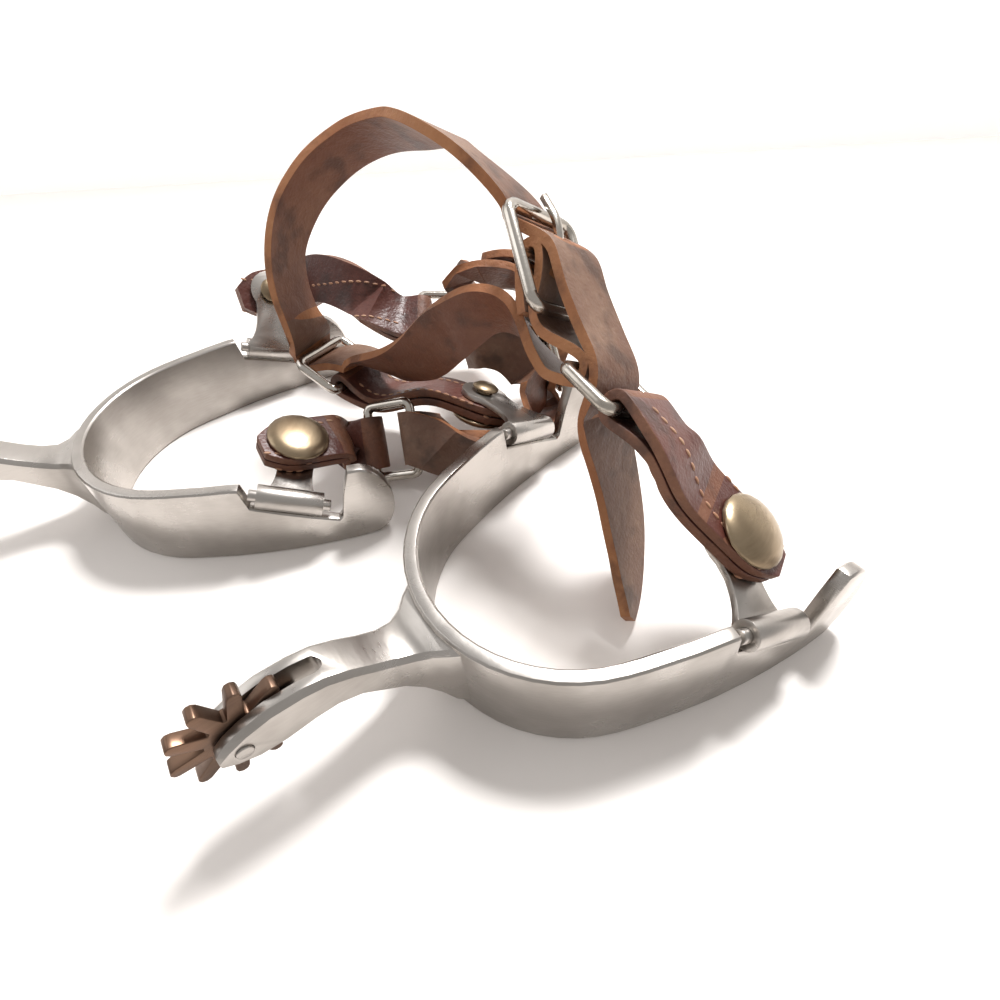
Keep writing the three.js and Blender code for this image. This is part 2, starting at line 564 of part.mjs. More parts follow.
// ---------------------------------------------------------------- one spur
function spur(prefix, layout) {
  const group = new THREE.Group();
  const add = (name, geometry, material) => group.add(mesh(`${prefix}_${name}`, geometry, material));
  add('heel_band', heelBand(), steel);
  add('shank', shank(), steel);
  add('rowel', rowel().translate(ROWEL_X, 0, ROWEL_Z), bronze);
  const pinHalf = SHANK_W / 2 + 0.4;
  add('rowel_pin', rod(v3(ROWEL_X, -pinHalf, ROWEL_Z), v3(ROWEL_X, pinHalf, ROWEL_Z), ROWEL_PIN_R), steel);
  for (const arm of layout.arms) {
    const side = arm.name === 'outer' ? -1 : 1;
    const frame = hangerFrame(side, arm.leanDeg);
    const ring = arm.ring;
    add(`${arm.name}_hinge_pin`, rod(...frame.pin, PIN_R), steel);
    const swinging = framed(new THREE.Group(), frame);
    swinging.add(mesh(`${prefix}_${arm.name}_hanger`, hanger(), steel));
    swinging.add(mesh(`${prefix}_${arm.name}_button`, button(), wornBrass));
    swinging.add(mesh(`${prefix}_${arm.name}_button_cap`, buttonCap(), wornBrass));
    group.add(swinging);
    add(`${arm.name}_hanger_strap`, stitchedStrap(frame, ring, arm.via), darkLeather);
    add(`${arm.name}_ring`, ringWire(ring), brightWire);
  }
  const rings = Object.fromEntries(layout.arms.map((arm) => [arm.name, arm.ring]));
  const first = rings[layout.chapeRing];
  const second = rings[layout.chapeRing === 'outer' ? 'inner' : 'outer'];
  const { buckle } = layout;
  add('main_strap', mainStrap({ ...layout.strap, buckle, first, second }), leather);
  add('buckle_frame', buckleFrame(buckle), brightWire);
  add('buckle_tongue', buckleTongue(buckle), brightWire);
  return group;
}

// ---------------------------------------------------------------- how each spur lies
// Strap stations are [x, y, z, and the width direction x, y, z] in that spur's own frame.
const nearLayout = {
  chapeRing: 'outer',
  arms: [
    {
      name: 'outer',
      leanDeg: 62,
      ring: ringFrame([55.6, 8, 50], [0.85, 0.05, -0.52], [0.12, -0.9, -0.26]),
    },
    {
      name: 'inner',
      leanDeg: -88,
      ring: ringFrame([24, 103, 24], [0.85, 0.5, -0.15], [0.45, -0.75, -0.48]),
    },
  ],
  buckle: buckleFrameOf([61.2, 36.5, 67], [-0.32, -0.81, -0.61], [0.85, 0.05, -0.52]),
  strap: {
    chape: [],
    under: [
      [53, 22.5, 46.8, 0.8, 0.2, -0.58], [52.3, 30, 50.5, 0.69, 0.42, -0.59], [52.5, 39.4, 56, 0.39, 0.41, -0.83],
      [49.3, 48, 56, 0.29, 0.3, -0.91], [42.6, 57.4, 47.8, 0.11, 0, -0.99], [37.6, 69.5, 35.8, 0.24, 0.15, -0.96],
      [31, 82, 30, 0.4, 0.5, -0.76],
    ],
    over: [
      [18.6, 106.4, 37, 0.78, 0.55, -0.32], [18.6, 109.7, 47, 0.76, 0.56, -0.31], [21.7, 112.2, 59, 0.72, 0.55, -0.42],
      [28.5, 112.2, 69, 0.8, 0.4, -0.45], [38.3, 108.7, 77.9, 0.7, 0.35, -0.6], [48.8, 102.3, 83.8, 0.58, 0.45, -0.69],
      [55, 88, 87, 0.44, 0.68, -0.58], [56, 69.2, 88.1, 0.55, 0.78, -0.2],
    ],
    throughRing: true,
    secondWrapped: false,
    tail: [
      [53.6, 6.5, 37, 0.86, 0.1, -0.5], [54, 3, 27, 0.88, 0.12, -0.45], [51.5, -4, 15, 0.85, 0.1, -0.5],
      [46.5, -11, 7.5, 0.75, 0.1, -0.6], [41, -17, 4.5, 0.6, 0.2, -0.76],
    ],
  },
};

const farLayout = {
  chapeRing: 'inner',
  arms: [
    {
      name: 'outer',
      leanDeg: 84,
      ring: ringFrame([87.4, -22.8, 13.2], [-0.12, -0.62, -0.77], [-0.83, 0.52, -0.15]),
    },
    {
      name: 'inner',
      leanDeg: -34,
      ring: ringFrame([116.6, 25.4, 22], [-0.28, -0.84, -0.46], [-0.95, 0.25, 0.12]),
      via: [[79.5, 48.5, 36.5, 0.2, 0.42, 0.88], [88, 38.5, 36, 0.2, 0.42, 0.89], [95.5, 31, 31, 0.28, 0.7, 0.66]],
    },
  ],
  buckle: buckleFrameOf([143.5, -8.5, 23], [-0.11, 0.375, 0.92], [-0.1, -0.93, 0.36]),
  strap: {
    chape: [
      [141.2, -1, 39.5, 0, 0.85, -0.5], [136, 0.5, 44.5, -0.11, 0.75, -0.66], [128, 2.5, 46, 0.2, 0.6, -0.77],
      [123, 8, 43.5, 0.25, 0.8, -0.5], [123.5, 14.5, 37, 0.25, 0.95, -0.1], [129.5, 20.5, 27.5, 0.25, 0.9, 0.35],
    ],
    under: [
      [130.5, 22.5, 18.2, 0.28, 0.84, 0.46], [133, 17, 16.5, 0.5, 0.5, 0.6], [129, 8.5, 18.5, 0.1, 0, 1],
      [119.5, -0.5, 26, -0.2, 0.2, 0.95], [122.5, -8.5, 29.5, 0.3, -0.3, 0.9], [130.5, -12, 26.5, 0, 0.1, 0.95],
      [135, -20.5, 18.5, 0, 0.6, 0.8], [128, -27.8, 10.2, 0.15, 0.74, -0.66], [119.4, -30.6, 9.8, 0.15, 0.7, -0.68],
      [111.5, -31, 10, 0.05, 0.5, -0.87], [104.5, -29.6, 11, 0, 0.45, -0.9], [99.3, -27.4, 13, -0.1, -0.6, -0.8],
    ],
    over: [
      [97.5, -31.6, 15, -0.1, -0.6, -0.8], [101, -34, 12.5, 0, -0.3, -1], [105.5, -35.6, 10, 0, 0.05, -1],
      [110.5, -35.2, 8.2, 0, 0.4, -0.9], [117.6, -31.8, 5.9, 0.1, 0.87, -0.45], [125.8, -27.4, 5.6, 0, 0.9, -0.4],
      [134.5, -21.6, 5, -0.3, 0.9, -0.1],
    ],
    throughRing: false,
    secondWrapped: true,
    tail: [[143.8, -1, 42.5, 0, 0.85, -0.5], [137.5, 1, 49, -0.11, 0.75, -0.66], [128, 3, 50.4, 0.2, 0.6, -0.77]],
  },
};

const pair = new THREE.Group();
pair.add(spur('near', nearLayout));
const far = spur('far', farLayout);
far.position.set(FAR_SPUR.x, FAR_SPUR.y, 0);
far.rotation.z = THREE.MathUtils.degToRad(FAR_SPUR.yawDeg);
pair.add(far);

export default pair;
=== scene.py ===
"""Looks for a pair of western spurs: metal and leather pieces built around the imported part."""

import json
import logging
import math
from dataclasses import dataclass
from enum import Enum

import bpy
from mathutils import Matrix, Vector

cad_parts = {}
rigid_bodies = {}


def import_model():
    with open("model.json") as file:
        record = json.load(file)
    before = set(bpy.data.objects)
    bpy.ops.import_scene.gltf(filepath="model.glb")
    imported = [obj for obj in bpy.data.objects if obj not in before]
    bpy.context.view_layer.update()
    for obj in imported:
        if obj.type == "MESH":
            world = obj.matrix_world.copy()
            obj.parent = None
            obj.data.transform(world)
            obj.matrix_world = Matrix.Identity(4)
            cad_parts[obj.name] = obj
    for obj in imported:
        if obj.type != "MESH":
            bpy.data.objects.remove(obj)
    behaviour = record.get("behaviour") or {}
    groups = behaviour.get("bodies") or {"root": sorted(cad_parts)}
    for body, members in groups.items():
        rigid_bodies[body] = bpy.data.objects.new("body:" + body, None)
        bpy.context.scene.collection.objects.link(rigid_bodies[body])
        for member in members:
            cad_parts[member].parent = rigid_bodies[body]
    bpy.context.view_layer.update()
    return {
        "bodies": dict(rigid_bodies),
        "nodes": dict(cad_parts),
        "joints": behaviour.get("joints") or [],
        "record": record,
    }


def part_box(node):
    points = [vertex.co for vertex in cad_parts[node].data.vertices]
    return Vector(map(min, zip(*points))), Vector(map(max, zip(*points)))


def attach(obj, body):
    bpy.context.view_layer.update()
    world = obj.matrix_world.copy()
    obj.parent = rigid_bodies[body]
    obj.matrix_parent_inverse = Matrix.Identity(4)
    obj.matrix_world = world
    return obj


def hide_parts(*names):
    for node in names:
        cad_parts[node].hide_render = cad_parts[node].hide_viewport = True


logging.basicConfig(level=logging.INFO, format="%(message)s")
log = logging.getLogger("spurs")

MM = 0.001
MERGE_DISTANCE = 0.00002
QUAD_FACE_DEG = 40.0
QUAD_SHAPE_DEG = 60.0
BEVEL_SEGMENTS = 2
COARSE, FINE, FINEST = 2.0, 4.0, 6.0
Colour = tuple[float, float, float]
Mask = tuple[float, float]


class Side(Enum):
    """The faces of a strap, as its material slots."""

    OUTER = 0
    INNER = 1
    EDGE = 2


# ---------------------------------------------------------------- shader maths
class Val:
    """A shader value; arithmetic on it adds math nodes to its graph."""

    def __init__(self, graph: "Graph", socket: bpy.types.NodeSocket) -> None:
        """Wraps one output socket."""
        self.graph = graph
        self.socket = socket

    def __add__(self, other: "Val | float") -> "Val":
        """self + other."""
        return self.graph.math("ADD", self, other)

    def __sub__(self, other: "Val | float") -> "Val":
        """self - other."""
        return self.graph.math("SUBTRACT", self, other)

    def __rsub__(self, other: float) -> "Val":
        """other - self."""
        return self.graph.math("SUBTRACT", other, self)

    def __mul__(self, other: "Val | float") -> "Val":
        """self * other."""
        return self.graph.math("MULTIPLY", self, other)

    def above(self, low: float, high: float) -> "Val":
        """A smooth mask that is 0 below low and 1 above high."""
        node = self.graph.node("ShaderNodeMapRange", {"interpolation_type": "SMOOTHSTEP"},
                               {"Value": self, "From Min": low, "From Max": high})
        return Val(self.graph, node.outputs["Result"])

    __radd__ = __add__
    __rmul__ = __mul__


class Graph:
    """The node graph of one new material, with its Principled shader."""

    def __init__(self, name: str) -> None:
        """Starts a material that holds one Principled shader and its output."""
        self.material = bpy.data.materials.new(name)
        self.material.use_nodes = True
        self.tree = self.material.node_tree
        self.tree.nodes.clear()
        self.shader = self.node("ShaderNodeBsdfPrincipled", {}, {})
        output = self.node("ShaderNodeOutputMaterial", {}, {})
        self.tree.links.new(self.shader.outputs["BSDF"], output.inputs["Surface"])
        self.place = Val(self, self.node("ShaderNodeTexCoord", {}, {}).outputs["Object"])

    def node(self, kind: str, settings: dict, inputs: dict) -> bpy.types.Node:
        """Adds a node.

        Args:
            kind: The node's type name.
            settings: Properties to set on it.
            inputs: Input names to constants or Val.

        Returns:
            The new node.
        """
        node = self.tree.nodes.new(kind)
        for key, value in settings.items():
            setattr(node, key, value)
        for key, value in inputs.items():
            self.feed(node.inputs[key], value)
        return node

    def feed(self, socket: bpy.types.NodeSocket, value: "Val | float | tuple") -> None:
        """Links or sets one input socket."""
        if isinstance(value, Val):
            self.tree.links.new(value.socket, socket)
        elif isinstance(value, tuple) and socket.type == "RGBA":
            socket.default_value = (*value, 1.0)
        else:
            socket.default_value = value

    def math(self, operation: str, a: "Val | float", b: "Val | float") -> Val:
        """One math node on two values."""
        node = self.node("ShaderNodeMath", {"operation": operation}, {0: a, 1: b})
        return Val(self, node.outputs[0])

    def stretched(self, scale: tuple[float, float, float]) -> Val:
        """Object coordinates scaled by a different amount along each axis."""
        node = self.node("ShaderNodeMapping", {}, {"Vector": self.place, "Scale": scale})
        return Val(self, node.outputs[0])

    def noise(self, scale: float, detail: float = 3.0, where: "Val | None" = None) -> Val:
        """Noise between 0 and 1."""
        inputs = {"Vector": where or self.place, "Scale": scale, "Detail": detail}
        return Val(self, self.node("ShaderNodeTexNoise", {}, inputs).outputs[0])

    def cells(self, scale: float) -> Val:
        """Distance to the nearest cell point."""
        inputs = {"Vector": self.place, "Scale": scale}
        return Val(self, self.node("ShaderNodeTexVoronoi", {}, inputs).outputs["Distance"])

    def blend(self, mask: Val, low: "Colour | Val", high: "Colour | Val") -> Val:
        """Mixes two colours by a mask."""
        node = self.node("ShaderNodeMix", {"data_type": "RGBA"}, {0: mask, 6: low, 7: high})
        return Val(self, node.outputs[2])

    def bump(self, height: Val, strength: float, distance: float) -> Val:
        """A bump normal from a height."""
        inputs = {"Height": height, "Strength": strength, "Distance": distance}
        return Val(self, self.node("ShaderNodeBump", {}, inputs).outputs[0])

    def finish(self, **inputs: "Val | float | tuple") -> bpy.types.Material:
        """Feeds the Principled shader; underscores in names stand for spaces."""
        for key, value in inputs.items():
            self.feed(self.shader.inputs[key.replace("_", " ")], value)
        return self.material


# ---------------------------------------------------------------- finishes
@dataclass(frozen=True)
class MetalFinish:
    """Worn metal: two tones in clouds, fine scratches and a few dark pits."""

    name: str
    bright: Colour
    dull: Colour
    pit: Colour
    rough_low: float
    rough_high: float
    pits: float
    cloud_scale: float = 45.0
    cloud_mask: Mask = (0.35, 0.7)
    cloud_share: float = 0.7
    streak_scale: float = 300.0
    streak_stretch: float = 7.0
    streak_rough: float = 0.08
    streak_depth: float = 0.4
    pit_scale: float = 110.0
    pit_mask: Mask = (0.05, 0.1)
    pit_patch_scale: float = 60.0
    pit_patch_mask: Mask = (0.6, 0.7)
    grain_scale: float = 900.0
    grain_depth: float = 0.2
    bump_strength: float = 0.18
    bump_mm: float = 0.3

    def build(self) -> bpy.types.Material:
        """Makes the material.

        Returns:
            A metal whose colour, roughness and relief follow clouds, streaks and pits.
        """
        g = Graph(self.name)
        cloud = g.noise(self.cloud_scale).above(*self.cloud_mask)
        streak = g.noise(self.streak_scale, COARSE, g.stretched((1.0, 1.0, self.streak_stretch)))
        patch = g.noise(self.pit_patch_scale).above(*self.pit_patch_mask)
        spots = (1.0 - g.cells(self.pit_scale).above(*self.pit_mask)) * patch * self.pits
        shade = cloud * self.cloud_share + streak * (1.0 - self.cloud_share)
        tone = g.blend(shade, self.bright, self.dull)
        rough = self.rough_low + cloud * (self.rough_high - self.rough_low) + streak * self.streak_rough
        height = streak * self.streak_depth + g.noise(self.grain_scale) * self.grain_depth - spots
        return g.finish(
            Base_Color=g.blend(spots, tone, self.pit),
            Metallic=1.0,
            Roughness=rough,
            Normal=g.bump(height, self.bump_strength, self.bump_mm * MM),
        )


@dataclass(frozen=True)
class LeatherFinish:
    """Old leather: mottled tones, rubbed patches, creases and pores."""

    name: str
    base: Colour
    rubbed: Colour
    dark: Colour
    roughness: float
    relief: float = 0.5
    patch_scale: float = 38.0
    patch_mask: Mask = (0.4, 0.7)
    patch_tone: float = 0.9
    patch_rough: float = 0.12
    scuff_scale: float = 420.0
    scuff_mask: Mask = (0.45, 0.75)
    scuff_share: float = 0.25
    grime_scale: float = 110.0
    grime_mask: Mask = (0.5, 0.68)
    grime_tone: float = 0.65
    crease_scale: float = 150.0
    crease_mask: Mask = (0.0, 0.25)
    crease_tone: float = 0.2
    crease_depth: float = 0.25
    pore_scale: float = 1300.0
    pore_depth: float = 0.35
    pore_rough: float = 0.1
    grain_scale: float = 330.0
    grain_detail: float = 5.0
    grain_depth: float = 0.7
    bump_mm: float = 0.5

    def build(self) -> bpy.types.Material:
        """Makes the material.

        Returns:
            A leather whose colour, roughness and relief follow patches, grime, creases and pores.
        """
        g = Graph(self.name)
        broad = g.noise(self.patch_scale, FINEST).above(*self.patch_mask)
        scuffs = g.noise(self.scuff_scale, FINE).above(*self.scuff_mask)
        patches = broad * (1.0 - self.scuff_share) + scuffs * self.scuff_share
        grime = g.noise(self.grime_scale, FINEST).above(*self.grime_mask)
        creases = 1.0 - g.cells(self.crease_scale).above(*self.crease_mask)
        pores = g.noise(self.pore_scale, COARSE)
        tone = g.blend(patches * self.patch_tone, self.base, self.rubbed)
        worn = g.blend(grime * self.grime_tone + creases * self.crease_tone, tone, self.dark)
        grain = g.noise(self.grain_scale, self.grain_detail) * self.grain_depth
        height = pores * self.pore_depth + grain - creases * self.crease_depth
        rough = self.roughness + patches * self.patch_rough - pores * self.pore_rough
        return g.finish(
            Base_Color=worn,
            Roughness=rough,
            Normal=g.bump(height, self.relief, self.bump_mm * MM),
        )


STEEL = MetalFinish(
    name="satin_steel",
    bright=(0.52, 0.49, 0.46),
    dull=(0.33, 0.305, 0.28),
    pit=(0.05, 0.038, 0.03),
    rough_low=0.2,
    rough_high=0.34,
    pits=0.9,
)
NICKEL = MetalFinish(
    name="nickel_wire",
    bright=(0.62, 0.585, 0.54),
    dull=(0.36, 0.325, 0.28),
    pit=(0.1, 0.07, 0.05),
    rough_low=0.12,
    rough_high=0.24,
    pits=0.7,
)
BRASS = MetalFinish(
    name="worn_brass",
    bright=(0.42, 0.33, 0.22),
    dull=(0.15, 0.105, 0.065),
    pit=(0.04, 0.026, 0.018),
    rough_low=0.22,
    rough_high=0.4,
    pits=0.9,
)
BRONZE = MetalFinish(
    name="dark_bronze",
    bright=(0.2, 0.12, 0.08),
    dull=(0.075, 0.055, 0.045),
    pit=(0.03, 0.02, 0.018),
    rough_low=0.32,
    rough_high=0.5,
    pits=0.9,
)
OUTER = LeatherFinish(
    name="worn_grey_leather",
    base=(0.115, 0.05, 0.028),
    rubbed=(0.22, 0.135, 0.09),
    dark=(0.04, 0.02, 0.013),
    roughness=0.58,
    relief=0.9,
)
INNER = LeatherFinish(
    name="brown_leather",
    base=(0.13, 0.045, 0.022),
    rubbed=(0.21, 0.095, 0.052),
    dark=(0.05, 0.02, 0.012),
    roughness=0.5,
    relief=0.7,
)
EDGE = LeatherFinish(
    name="cut_edge_leather",
    base=(0.27, 0.1, 0.036),
    rubbed=(0.38, 0.175, 0.075),
    dark=(0.08, 0.03, 0.015),
    roughness=0.7,
    relief=0.9,
)
DARK = LeatherFinish(
    name="oxblood_leather",
    base=(0.075, 0.021, 0.015),
    rubbed=(0.13, 0.048, 0.034),
    dark=(0.025, 0.011, 0.008),
    roughness=0.42,
    relief=0.8,
)
DARK_EDGE = LeatherFinish(
    name="dark_cut_edge",
    base=(0.14, 0.052, 0.027),
    rubbed=(0.22, 0.1, 0.052),
    dark=(0.04, 0.017, 0.011),
    roughness=0.62,
    relief=0.9,
)
THREAD = LeatherFinish(
    name="waxed_thread",
    base=(0.33, 0.16, 0.09),
    rubbed=(0.5, 0.33, 0.22),
    dark=(0.12, 0.06, 0.04),
    roughness=0.6,
)


# ---------------------------------------------------------------- copies of CAD nodes
def only(obj: bpy.types.Object) -> None:
    """Selects one object and makes it active."""
    bpy.ops.object.select_all(action="DESELECT")
    obj.select_set(True)
    bpy.context.view_layer.objects.active = obj


def apply_modifier(obj: bpy.types.Object, kind: str, **settings: object) -> None:
    """Adds a modifier, sets it up and applies it.

    Args:
        obj: The object to change.
        kind: The modifier's type name.
        settings: Properties to set on it.
    """
    modifier = obj.modifiers.new(kind.lower(), kind)
    for key, value in settings.items():
        setattr(modifier, key, value)
    only(obj)
    bpy.ops.object.modifier_apply(modifier=modifier.name)


def merged_copy(node: bpy.types.Object, name: str) -> bpy.types.Object:
    """Copies a CAD node, joins its loose triangles and turns them into quads where they can be.

    Args:
        node: The CAD node, which stays as it is.
        name: The copy's name.

    Returns:
        The copy, without materials.
    """
    copy = bpy.data.objects.new(name, node.data.copy())
    bpy.context.scene.collection.objects.link(copy)
    copy.data.materials.clear()
    only(copy)
    bpy.ops.object.mode_set(mode="EDIT")
    bpy.ops.mesh.select_all(action="SELECT")
    bpy.ops.mesh.remove_doubles(threshold=MERGE_DISTANCE)
    bpy.ops.mesh.normals_make_consistent(inside=False)
    bpy.ops.mesh.tris_convert_to_quads(
        face_threshold=math.radians(QUAD_FACE_DEG), shape_threshold=math.radians(QUAD_SHAPE_DEG))
    bpy.ops.object.mode_set(mode="OBJECT")
    return copy


@dataclass(frozen=True)
class MetalPiece:
    """A metal part with its edges eased."""

    part: str
    slot: str
    finish: MetalFinish
    ease_mm: float
    crease_deg: float = 38.0

    def shape(self, piece: bpy.types.Object) -> None:
        """Changes the copied mesh before its edges are eased; most parts need nothing."""

    def build(self, frame: dict, body: str, material: bpy.types.Material) -> bpy.types.Object:
        """Builds the piece over its CAD node and says what it rides on.

        Args:
            body: The body that the piece moves with.
            material: Its finish.

        Returns:
            The finished piece.
        """
        piece = merged_copy(frame["nodes"][self.part], self.part + "_metal")
        self.shape(piece)
        apply_modifier(piece, "BEVEL", width=self.ease_mm * MM, segments=BEVEL_SEGMENTS,
                       limit_method="ANGLE", angle_limit=math.radians(self.crease_deg),
                       use_clamp_overlap=True)
        piece.data.materials.append(material)
        only(piece)
        bpy.ops.object.shade_smooth_by_angle(angle=math.radians(self.crease_deg))
        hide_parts(self.part)
        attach(piece, body)
        log.info("metal %s", piece.name)
        return piece


@dataclass(frozen=True)
class ShankPiece(MetalPiece):
    """A shank whose root is welded to its heel band instead of stopping a gap short of it."""

    heel_centre: tuple[float, float] = (35.4, 0.0)
    face_radius_mm: float = 37.4
    face_play_mm: float = 0.12
    sink_mm: float = 0.6
    yaw_deg: float = 0.0
    shift_mm: tuple[float, float] = (0.0, 0.0)

    def shape(self, piece: bpy.types.Object) -> None:
        """Pushes the root's hollow face into the band."""
        place = Matrix.Translation((self.shift_mm[0] * MM, self.shift_mm[1] * MM, 0))
        place = place @ Matrix.Rotation(math.radians(self.yaw_deg), 4, "Z")
        centre = place @ Vector((self.heel_centre[0] * MM, self.heel_centre[1] * MM, 0.0))
        for vertex in piece.data.vertices:
            out = Vector((vertex.co.x - centre.x, vertex.co.y - centre.y, 0.0))
            if out.length < (self.face_radius_mm + self.face_play_mm) * MM:
                vertex.co -= out.normalized() * self.sink_mm * MM


@dataclass(frozen=True)
class StrapPiece:
    """A leather strap: softened edges, smoothed run, own finish on each side and on its cut edges."""

    part: str
    slot: str
    thickness_mm: float = 2.4
    ease_mm: float = 0.45
    ease_deg: float = 50.0
    edge_share: float = 1.25
    same_side: float = 0.2
    smooth_levels: int = 2

    def sides(self, mesh: bpy.types.Mesh) -> None:
        """Gives the faces of each side of the strap and of its cut edges their material slots.

        A face narrower than the strap is thick is a cut edge. The rest are gathered into sides by
        walking from face to face, and a side whose top faces up is the outer one.

        Args:
            mesh: The strap's mesh, before its edges are eased.
        """
        narrow = self.thickness_mm * self.edge_share * MM
        edge_faces: dict[tuple[int, int], list[int]] = {}
        flat: set[int] = set()
        for face in mesh.polygons:
            face.material_index = Side.EDGE.value
            points = [mesh.vertices[i].co for i in face.vertices]
            longest = max((points[i] - points[i - 1]).length for i in range(len(points)))
            corners = 2 if len(points) == 3 else 1
            if corners * face.area / longest > narrow:
                flat.add(face.index)
            for key in face.edge_keys:
                edge_faces.setdefault(key, []).append(face.index)
        while flat:
            seed = flat.pop()
            group = [seed]
            for index in group:
                for key in mesh.polygons[index].edge_keys:
                    for other in edge_faces[key]:
                        if other not in flat:
                            continue
                        turn = mesh.polygons[index].normal.dot(mesh.polygons[other].normal)
                        if turn > self.same_side:
                            flat.discard(other)
                            group.append(other)
            top = max(group, key=lambda i: mesh.polygons[i].center.z)
            side = Side.OUTER if mesh.polygons[top].normal.z > 0 else Side.INNER
            for index in group:
                mesh.polygons[index].material_index = side.value

    def build(self, frame: dict, body: str, materials: list[bpy.types.Material]) -> bpy.types.Object:
        """Builds the strap over its CAD node and says what it rides on.

        Args:
            body: The body that the strap moves with.
            materials: Its finishes outside, inside and on the cut edges.

        Returns:
            The finished strap.
        """
        piece = merged_copy(frame["nodes"][self.part], self.part + "_leather")
        for material in materials:
            piece.data.materials.append(material)
        self.sides(piece.data)
        apply_modifier(piece, "BEVEL", width=self.ease_mm * MM, segments=BEVEL_SEGMENTS,
                       limit_method="ANGLE", angle_limit=math.radians(self.ease_deg),
                       use_clamp_overlap=True)
        apply_modifier(piece, "SUBSURF", levels=self.smooth_levels, render_levels=self.smooth_levels)
        only(piece)
        bpy.ops.object.shade_smooth()
        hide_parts(self.part)
        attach(piece, body)
        log.info("strap %s", piece.name)
        return piece


@dataclass(frozen=True)
class StitchRow:
    """Rows of stitches sunk into both faces of a doubled strap between its button and its ring."""

    prefix: str
    across_button: tuple[float, float, float]
    across_ring: tuple[float, float, float]
    inset_mm: float = 5.9
    pitch_mm: float = 2.6
    thread_mm: float = 0.42
    first: float = -0.32
    last: float = 0.8
    stand_off_mm: float = 30.0
    facing: float = 0.35
    length_share: float = 0.4
    rise_share: float = 0.8
    segments: int = 8
    rings: int = 5

    def build(self, strap: bpy.types.Object, body: str, material: bpy.types.Material) -> None:
        """Finds the strap's surface stitch by stitch and lays a short thread on it.

        Args:
            strap: The doubled strap's finished piece.
            body: The body that the strap rides on.
            material: The thread's finish.
        """
        low, high = (Vector(v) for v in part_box(self.prefix + "_button"))
        start = (low + high) / 2
        low, high = (Vector(v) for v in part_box(self.prefix + "_ring"))
        end = (low + high) / 2
        count = int((end - start).length * (self.last - self.first) / (self.pitch_mm * MM))
        threads: list[bpy.types.Object] = []
        for row in (-1, 1):
            for face in (-1, 1):
                for k in range(count):
                    t = self.first + (self.last - self.first) * k / count
                    mix = min(max(t, 0.0), 1.0)
                    across = Vector(self.across_button).lerp(Vector(self.across_ring), mix).normalized()
                    along = (end - start).normalized()
                    out = across.cross(along).normalized() * face
                    reach = self.stand_off_mm * MM
                    origin = start.lerp(end, t) + across * row * self.inset_mm * MM + out * reach
                    hit, place, normal, _ = strap.ray_cast(origin, -out, distance=2 * reach)
                    if hit and normal.dot(out) > self.facing:
                        threads.append(self.thread(place, normal, along))
        if not threads:
            return
        only(threads[0])
        for thread in threads:
            thread.select_set(True)
        bpy.ops.object.join()
        piece = bpy.context.view_layer.objects.active
        piece.name = self.prefix + "_stitching"
        piece.data.materials.clear()
        piece.data.materials.append(material)
        bpy.ops.object.shade_smooth()
        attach(piece, body)
        log.info("stitching %s: %d stitches", piece.name, len(threads))

    def thread(self, place: Vector, normal: Vector, along: Vector) -> bpy.types.Object:
        """Lays one stitch on the leather.

        Args:
            place: Where it lies.
            normal: The leather's outward direction there.
            along: The way the row runs.

        Returns:
            The stitch.
        """
        forward = (along - normal * along.dot(normal)).normalized()
        basis = Matrix((forward, normal.cross(forward), normal)).transposed().to_4x4()
        basis.translation = place
        bpy.ops.mesh.primitive_uv_sphere_add(segments=self.segments, ring_count=self.rings, radius=1.0)
        thread = bpy.context.active_object
        length, rise = self.pitch_mm * self.length_share, self.thread_mm * self.rise_share
        size = Matrix.Diagonal((length * MM, self.thread_mm * MM, rise * MM, 1.0))
        thread.data.transform(basis @ size)
        return thread


# ---------------------------------------------------------------- one spur
ARMS = ("outer", "inner")


